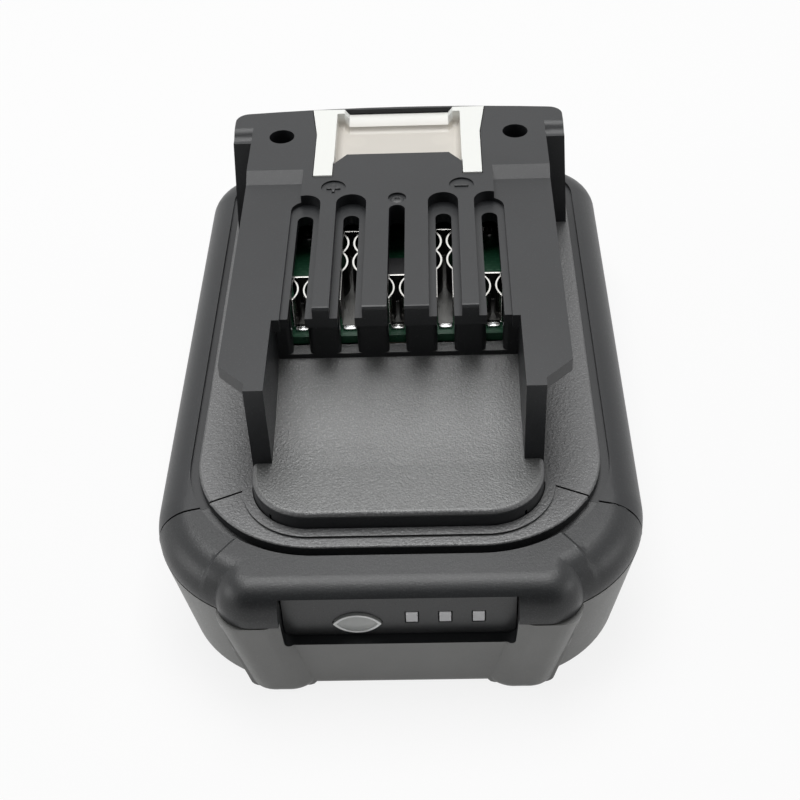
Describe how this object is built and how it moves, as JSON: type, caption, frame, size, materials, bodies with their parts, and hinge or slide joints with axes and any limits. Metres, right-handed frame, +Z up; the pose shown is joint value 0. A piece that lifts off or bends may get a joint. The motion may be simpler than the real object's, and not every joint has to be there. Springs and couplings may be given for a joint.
{
  "type": "power tool battery pack",
  "caption": "Slide-on power tool battery pack with rails, slotted contact comb, sprung release latch, charge gauge and cells in a two-part case.",
  "frame": {"origin": "centre of the bounding box at the ground that the pack stands on", "axes": "+Z up; -Y is the front with the charge gauge; +Y is the end with the release latch; the tool slides on along +Y"},
  "size_m": [0.078, 0.118, 0.0434],
  "materials": {
    "case_plastic": "satin moulded glass-filled nylon, fine grain",
    "panel_plastic": "satin dark window panel",
    "button_silver": "silver painted button",
    "light_guide": "frosted light guide",
    "board_green": "solder mask over glass-epoxy laminate",
    "led_body": "moulded lamp body",
    "switch_steel": "stamped dome switch",
    "cable_film": "laminated flat cable",
    "nickel": "nickel-plated steel strip",
    "holder_plastic": "black moulded frame",
    "insulator_board": "fish paper sheet",
    "sensor_epoxy": "epoxy bead",
    "chip_epoxy": "moulded chip package",
    "screw_steel": "zinc-plated steel",
    "latch_plastic": "white moulded acetal",
    "spring_steel": "spring steel",
    "cell_wrap": "shrink sleeve over the can",
    "contact_nickel": "bright nickel-plated copper"
  },
  "bodies": {
    "pack": {"lower_case": "case_plastic", "upper_case": "case_plastic", "front_cover": "case_plastic", "gauge_panel": "panel_plastic", "main_board": "board_green", "temp_contact": "contact_nickel", "positive_contact": "contact_nickel", "data_contact": "contact_nickel", "negative_contact": "contact_nickel", "id_contact": "contact_nickel", "gauge_light_guide": "light_guide", "gauge_board": "board_green", "gauge_leds": "led_body", "gauge_switch": "switch_steel", "gauge_cable": "cable_film", "cell_1": "cell_wrap", "cell_2": "cell_wrap", "cell_3": "cell_wrap", "cell_4": "cell_wrap", "cell_5": "cell_wrap", "link_strip_1_2": "nickel", "link_strip_2_3": "nickel", "link_strip_3_4": "nickel", "link_strip_4_5": "nickel", "negative_tab_strip": "nickel", "positive_tab_strip": "nickel", "cell_holder_left": "holder_plastic", "cell_holder_right": "holder_plastic", "insulator_left": "insulator_board", "insulator_right": "insulator_board", "board_carrier": "holder_plastic", "temperature_sensor": "sensor_epoxy", "power_switch_chips": "chip_epoxy", "control_chip": "chip_epoxy", "case_screws": "screw_steel", "head_screws": "screw_steel", "board_screws": "screw_steel", "latch_springs": "spring_steel"},
    "latch": {"latch_button": "latch_plastic"},
    "gauge_key": {"gauge_button": "button_silver"}
  },
  "joints": [
    {"name": "latch_press", "type": "slide", "parent": "pack", "child": "latch", "axis": [0, 0, -1], "range_m": [0, 0.0032], "stiffness_N_per_m": 900, "deforming": ["latch_springs"]},
    {"name": "gauge_button_press", "type": "slide", "parent": "pack", "child": "gauge_key", "axis": [0, 1, 0], "range_m": [0, 0.0006], "stiffness_N_per_m": 1500}
  ]
}
